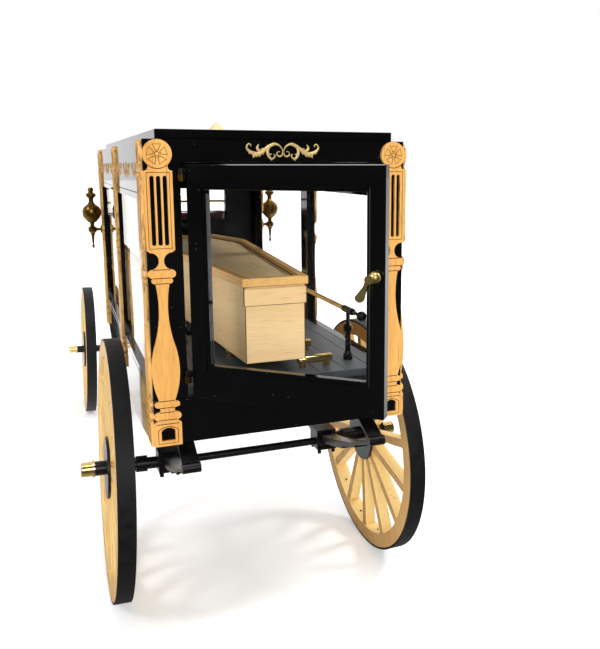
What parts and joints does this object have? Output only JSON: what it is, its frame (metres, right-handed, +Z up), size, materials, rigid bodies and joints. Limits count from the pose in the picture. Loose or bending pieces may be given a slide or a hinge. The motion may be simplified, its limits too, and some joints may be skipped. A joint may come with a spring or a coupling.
{
  "type": "horse-drawn hearse model",
  "caption": "Scale model of a horse-drawn glass-sided hearse with fretwork pilasters, opening rear door, coffin on rollers, turning fore-carriage and spoked wheels.",
  "frame": {"origin": "on the ground under the middle of the model's bounding box", "axes": "+Y the way it is drawn, +X its right-hand side, +Z up"},
  "size_m": [0.1482, 0.4314, 0.2072],
  "materials": {
    "pilaster_wood": "oiled basswood",
    "coffin_wood": "bare basswood",
    "black_paint": "satin black lacquer on wood",
    "deck_paint": "dark grey painted planks",
    "glass": "clear acrylic pane",
    "brass": "polished",
    "black_metal": "satin black",
    "tyre_black": "matt black strip",
    "leather": "dark red-brown"
  },
  "bodies": {
    "body": {"boot": "black_paint", "cabin_glass": "glass", "coffin": "coffin_wood", "coffin_lid": "coffin_wood", "coffin_rails": "brass", "deck": "deck_paint", "door_pintles": "brass", "door_posts": "black_paint", "footboard": "black_paint", "frieze": "black_paint", "front_panel": "black_paint", "front_wall": "black_paint", "lamps": "brass", "pilasters_front": "pilaster_wood", "pilasters_left": "pilaster_wood", "pilasters_rear": "pilaster_wood", "pilasters_right": "pilaster_wood", "rail_stanchions": "black_metal", "rear_axle": "black_metal", "rear_sill_panel": "black_paint", "rear_springs": "black_metal", "rollers": "brass", "roof": "black_paint", "roof_finial": "pilaster_wood", "seat_back": "leather", "seat_cushion": "leather", "seat_rail": "brass", "side_frame_left": "black_paint", "side_frame_right": "black_paint", "side_panel_left": "black_paint", "side_panel_right": "black_paint", "spring_blocks": "black_metal", "turntable_upper": "black_metal"},
    "rear_door": {"door_frame": "black_paint", "door_glass": "glass", "door_hinges": "brass", "door_handle": "brass", "door_latch": "black_metal"},
    "fore_carriage": {"front_axle": "black_metal", "front_springs": "black_metal", "fore_frame": "black_metal", "splinter_bar": "black_metal", "turntable_lower": "black_metal"},
    "rear_left_wheel": {"wheel_rear_left": "pilaster_wood", "tyre_rear_left": "tyre_black", "hub_rear_left": "black_metal", "hub_cap_rear_left": "brass"},
    "rear_right_wheel": {"wheel_rear_right": "pilaster_wood", "tyre_rear_right": "tyre_black", "hub_rear_right": "black_metal", "hub_cap_rear_right": "brass"},
    "front_left_wheel": {"wheel_front_left": "pilaster_wood", "tyre_front_left": "tyre_black", "hub_front_left": "black_metal", "hub_cap_front_left": "brass"},
    "front_right_wheel": {"wheel_front_right": "pilaster_wood", "tyre_front_right": "tyre_black", "hub_front_right": "black_metal", "hub_cap_front_right": "brass"}
  },
  "joints": [
    {"name": "steer", "type": "hinge", "parent": "body", "child": "fore_carriage", "pos_m": [0, 0.16125, 0.08], "axis": [0, 0, 1], "range_deg": [-30, 30]},
    {"name": "rear_door_hinge", "type": "hinge", "parent": "body", "child": "rear_door", "pos_m": [-0.0366, -0.16575, 0.1034], "axis": [0, 0, -1], "range_deg": [-42, 63]},
    {"name": "rear_left_spin", "type": "hinge", "parent": "body", "child": "rear_left_wheel", "pos_m": [-0.06, -0.10375, 0.05628], "axis": [0.9994, 0, -0.0349], "continuous": true},
    {"name": "rear_right_spin", "type": "hinge", "parent": "body", "child": "rear_right_wheel", "pos_m": [0.06, -0.10375, 0.05628], "axis": [0.9994, 0, 0.0349], "continuous": true},
    {"name": "front_left_spin", "type": "hinge", "parent": "fore_carriage", "child": "front_left_wheel", "pos_m": [-0.0583, 0.16125, 0.04739], "axis": [0.9994, 0, -0.0349], "continuous": true},
    {"name": "front_right_spin", "type": "hinge", "parent": "fore_carriage", "child": "front_right_wheel", "pos_m": [0.0583, 0.16125, 0.04739], "axis": [0.9994, 0, 0.0349], "continuous": true}
  ]
}
